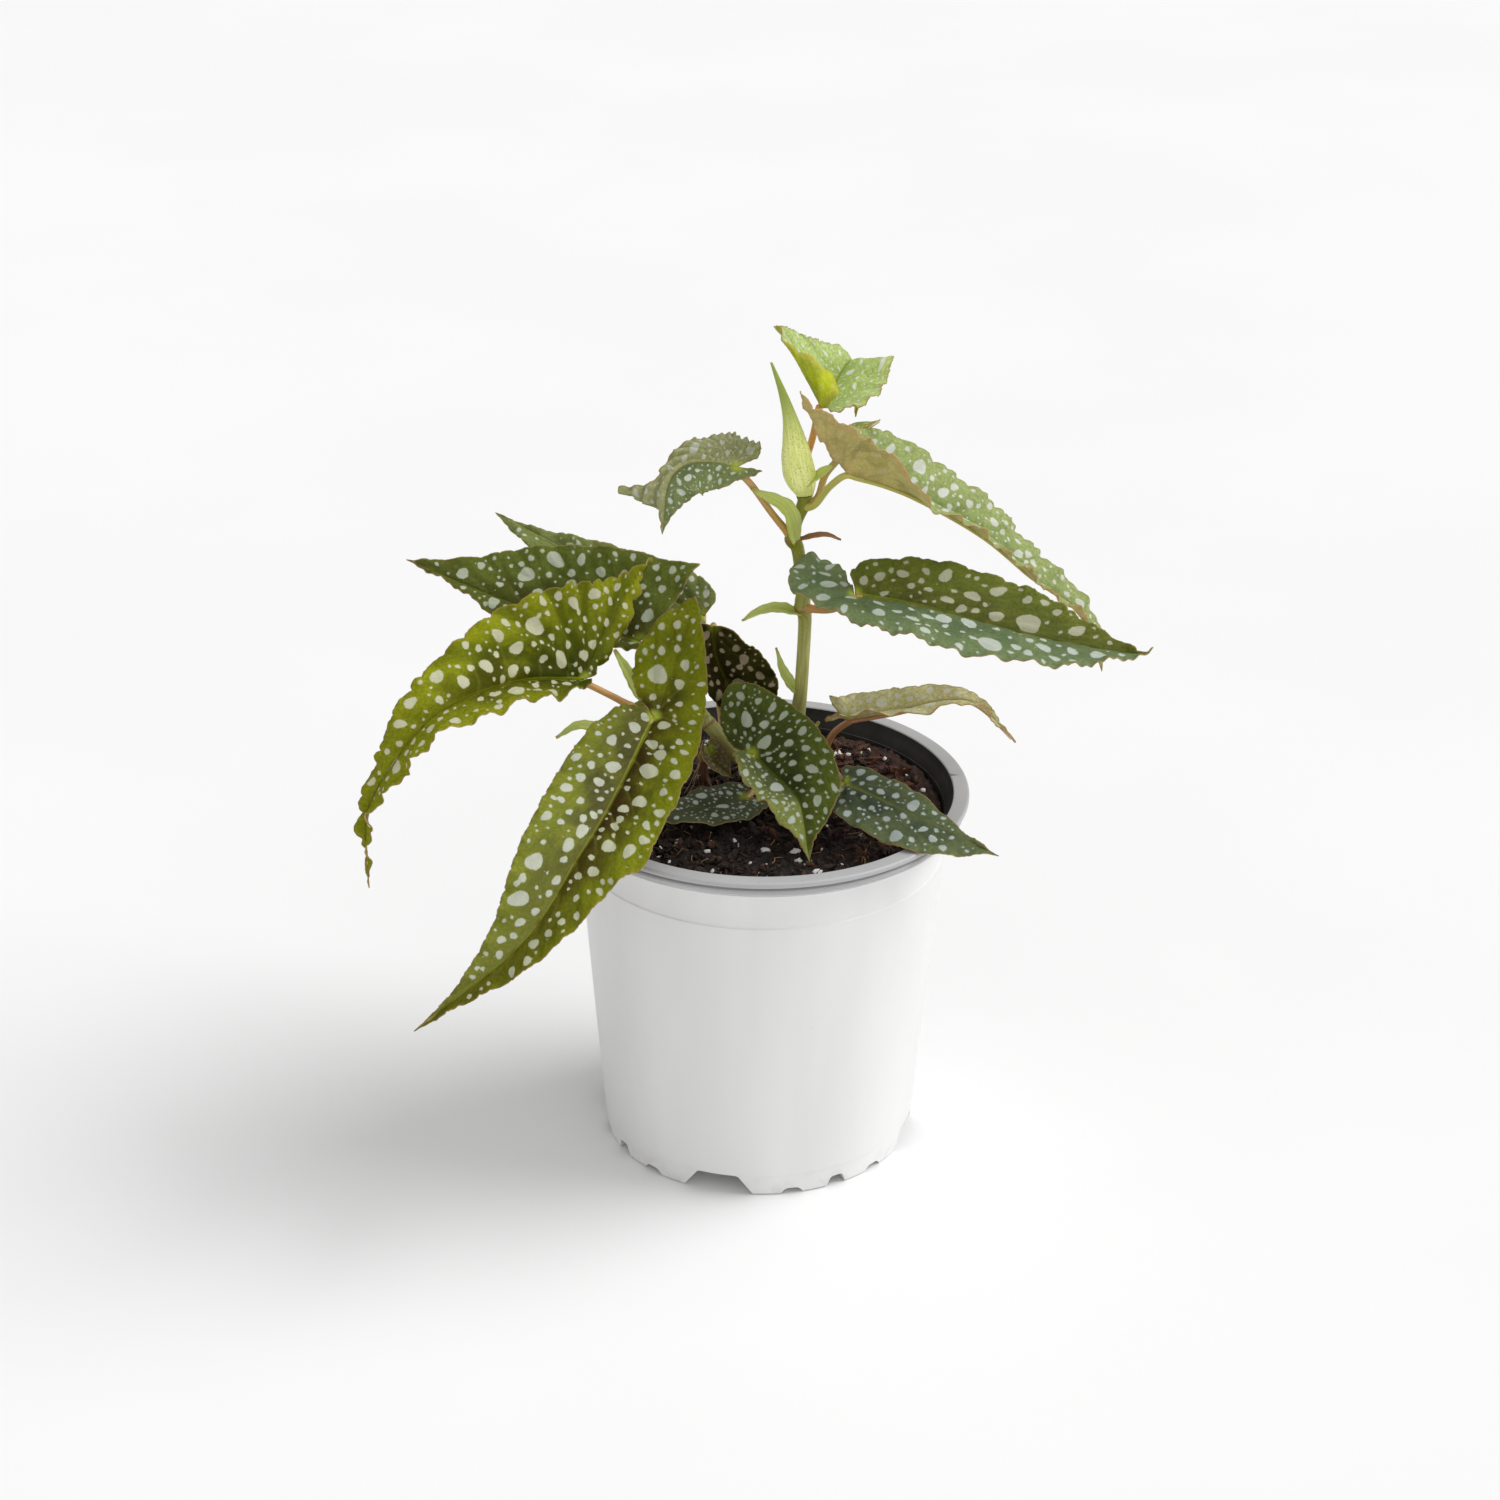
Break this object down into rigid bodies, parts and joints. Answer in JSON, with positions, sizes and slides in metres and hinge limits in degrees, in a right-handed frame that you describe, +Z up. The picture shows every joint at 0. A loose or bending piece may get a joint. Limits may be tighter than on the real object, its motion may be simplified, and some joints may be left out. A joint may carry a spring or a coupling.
{
  "type": "potted cane begonia",
  "caption": "Cane begonia with spotted, wing-shaped leaves on upright green stems, growing in a round white nursery pot with a grey rim.",
  "frame": {"origin": "centre of the pot's flat underside, on its axis", "axes": "+Z up along the pot's axis, +X to the right and +Y away, as seen from the plant's front"},
  "size_m": [0.2956, 0.1986, 0.3261],
  "materials": {
    "pot_plastic": "satin, white",
    "potting_mix": "moist crumbly peat mix",
    "cane_green": "smooth green stem",
    "dead_stem": "dry and fibrous",
    "stipule_green": "thin and pale",
    "leaf_dark": "satin leaf with pale spots",
    "leaf_olive": "satin leaf with pale spots",
    "leaf_young": "thin young leaf",
    "leaf_withered": "dry and matt"
  },
  "bodies": {
    "root": {"pot": "pot_plastic", "potting_mix": "potting_mix", "main_cane": "cane_green", "left_cane": "cane_green", "right_shoot": "cane_green", "dead_stub": "dead_stem", "growing_tip_sheath": "stipule_green", "leaf_front_left": "leaf_olive", "leaf_left": "leaf_olive", "leaf_back_left": "leaf_dark", "leaf_far_left": "leaf_dark", "leaf_behind_centre": "leaf_dark", "leaf_centre": "leaf_dark", "leaf_low": "leaf_dark", "leaf_withered": "leaf_withered", "leaf_over_rim": "leaf_dark", "leaf_curled": "leaf_dark", "leaf_right": "leaf_dark", "leaf_upper_right": "leaf_dark", "leaf_top": "leaf_young", "leaf_upper_left": "leaf_dark", "leaf_bud": "leaf_young"}
  },
  "joints": []
}
